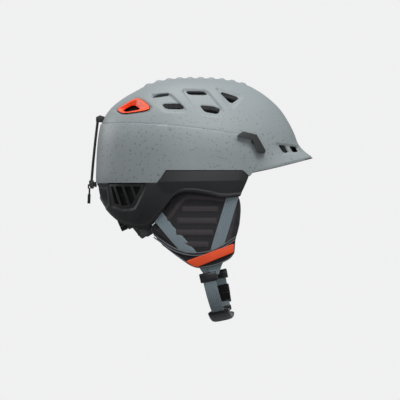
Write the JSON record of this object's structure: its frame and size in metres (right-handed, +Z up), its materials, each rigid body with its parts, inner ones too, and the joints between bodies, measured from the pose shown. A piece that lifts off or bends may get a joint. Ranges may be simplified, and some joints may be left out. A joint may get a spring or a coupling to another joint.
{
  "type": "ski touring helmet",
  "caption": "Vented ski touring helmet with a short brim, split hard shell, ear pads, chin strap, fit dial and goggle strap retainer.",
  "frame": {"origin": "centre of the head opening at brow height", "axes": "+X forward over the brim, +Y to the wearer's left, +Z up through the crown"},
  "size_m": [0.287, 0.2146, 0.3111],
  "materials": {
    "shell_grey": "satin, speckled",
    "shell_black": "matt",
    "liner_foam": "matt beaded foam",
    "lining_fabric": "soft knit",
    "cradle_plastic": "satin",
    "buckle_plastic": "semi-gloss",
    "clip_plastic": "fine grain",
    "elastic_cord": "braided",
    "webbing": "woven",
    "chin_fabric": "fleece",
    "magnet_steel": "plated",
    "accent_plastic": "satin",
    "ear_fabric": "ribbed mesh",
    "ear_lip_fabric": "fine knit",
    "label_rubber": "soft matt"
  },
  "bodies": {
    "helmet": {"upper_shell": "shell_grey", "lower_shell": "shell_black", "impact_liner": "liner_foam", "brow_pad": "lining_fabric", "crown_pad": "lining_fabric", "rear_pad": "lining_fabric", "nape_cradle": "cradle_plastic", "nape_pad": "lining_fabric", "retainer_anchor": "clip_plastic", "retainer_catch": "clip_plastic", "right_accent_vent_frame": "accent_plastic", "right_rear_vent_grille": "clip_plastic", "right_headlamp_clip": "clip_plastic", "right_side_comfort_pad": "lining_fabric", "right_halo_arm": "cradle_plastic", "right_halo_anchor": "clip_plastic", "right_strap_anchors": "cradle_plastic", "left_accent_vent_frame": "accent_plastic", "left_rear_vent_grille": "clip_plastic", "left_headlamp_clip": "clip_plastic", "left_side_comfort_pad": "lining_fabric", "left_halo_arm": "cradle_plastic", "left_halo_anchor": "clip_plastic", "left_strap_anchors": "cradle_plastic"},
    "ear_flap_right": {"right_ear_pad": "ear_fabric", "right_ear_cushion": "lining_fabric", "right_ear_lip": "ear_lip_fabric", "right_ear_label": "label_rubber", "right_front_webbing": "webbing", "right_rear_webbing": "webbing"},
    "yoke_right": {"right_strap_divider": "buckle_plastic"},
    "ear_flap_left": {"left_ear_pad": "ear_fabric", "left_ear_cushion": "lining_fabric", "left_ear_lip": "ear_lip_fabric", "left_ear_label": "label_rubber", "left_front_webbing": "webbing", "left_rear_webbing": "webbing"},
    "yoke_left": {"left_strap_divider": "buckle_plastic"},
    "chin_strap_right": {"right_chin_webbing": "webbing", "chin_pad": "chin_fabric", "buckle_webbing": "webbing", "buckle_tongue": "buckle_plastic", "tongue_magnet": "magnet_steel", "strap_keeper": "elastic_cord"},
    "chin_strap_left": {"left_chin_webbing": "webbing", "buckle_housing": "buckle_plastic", "housing_magnet": "magnet_steel"},
    "goggle_retainer": {"retainer_eye": "clip_plastic", "retainer_cords": "elastic_cord", "retainer_hook": "clip_plastic", "retainer_pull_tab": "elastic_cord"},
    "fit_dial_body": {"fit_dial": "buckle_plastic", "dial_pinion": "buckle_plastic"},
    "band_tail_right": {"right_band_tail": "cradle_plastic"},
    "band_tail_left": {"left_band_tail": "cradle_plastic"}
  },
  "joints": [
    {"name": "right_ear_flex", "type": "hinge", "parent": "helmet", "child": "ear_flap_right", "pos_m": [0, -0.09, -0.038], "axis": [-1, 0, 0], "range_deg": [0, 28], "stiffness_Nm_per_rad": 0.4},
    {"name": "left_ear_flex", "type": "hinge", "parent": "helmet", "child": "ear_flap_left", "pos_m": [0, 0.09, -0.038], "axis": [1, 0, 0], "range_deg": [0, 28], "stiffness_Nm_per_rad": 0.4},
    {"name": "right_chin_swing", "type": "hinge", "parent": "ear_flap_right", "child": "yoke_right", "pos_m": [0.039, 0, -0.128], "axis": [0.1028, 0.9947, 0], "range_deg": [-22, 22]},
    {"name": "left_chin_swing", "type": "hinge", "parent": "ear_flap_left", "child": "yoke_left", "pos_m": [0.039, 0, -0.128], "axis": [0.1028, 0.9947, 0], "range_deg": [-22, 22]},
    {"name": "right_chin_open", "type": "hinge", "parent": "yoke_right", "child": "chin_strap_right", "pos_m": [0.03619, -0.06628, -0.14688], "axis": [-0.973, 0.1005, -0.2079], "range_deg": [0, 50]},
    {"name": "left_chin_open", "type": "hinge", "parent": "yoke_left", "child": "chin_strap_left", "pos_m": [0.0498, 0.06546, -0.14688], "axis": [0.973, -0.1005, 0.2079], "range_deg": [0, 50]},
    {"name": "goggle_retainer_swing", "type": "hinge", "parent": "helmet", "child": "goggle_retainer", "pos_m": [-0.1055, 0, 0.058], "axis": [0, 1, 0], "range_deg": [0, 60]},
    {"name": "fit_dial_turn", "type": "hinge", "parent": "helmet", "child": "fit_dial_body", "pos_m": [-0.062, 0, -0.064], "axis": [0.9205, 0, 0.3907], "range_deg": [-135, 135]},
    {"name": "right_band_slide", "type": "slide", "parent": "helmet", "child": "band_tail_right", "axis": [0, 1, 0], "range_m": [-0.008, 0.008]},
    {"name": "left_band_slide", "type": "slide", "parent": "helmet", "child": "band_tail_left", "axis": [0, -1, 0], "range_m": [-0.008, 0.008]}
  ],
  "couplings": [
    {"joint": "left_chin_swing", "follows": "right_chin_swing", "ratio": 1},
    {"joint": "right_band_slide", "follows": "fit_dial_turn", "m_per_rad": -0.00335},
    {"joint": "left_band_slide", "follows": "fit_dial_turn", "m_per_rad": -0.00335}
  ]
}
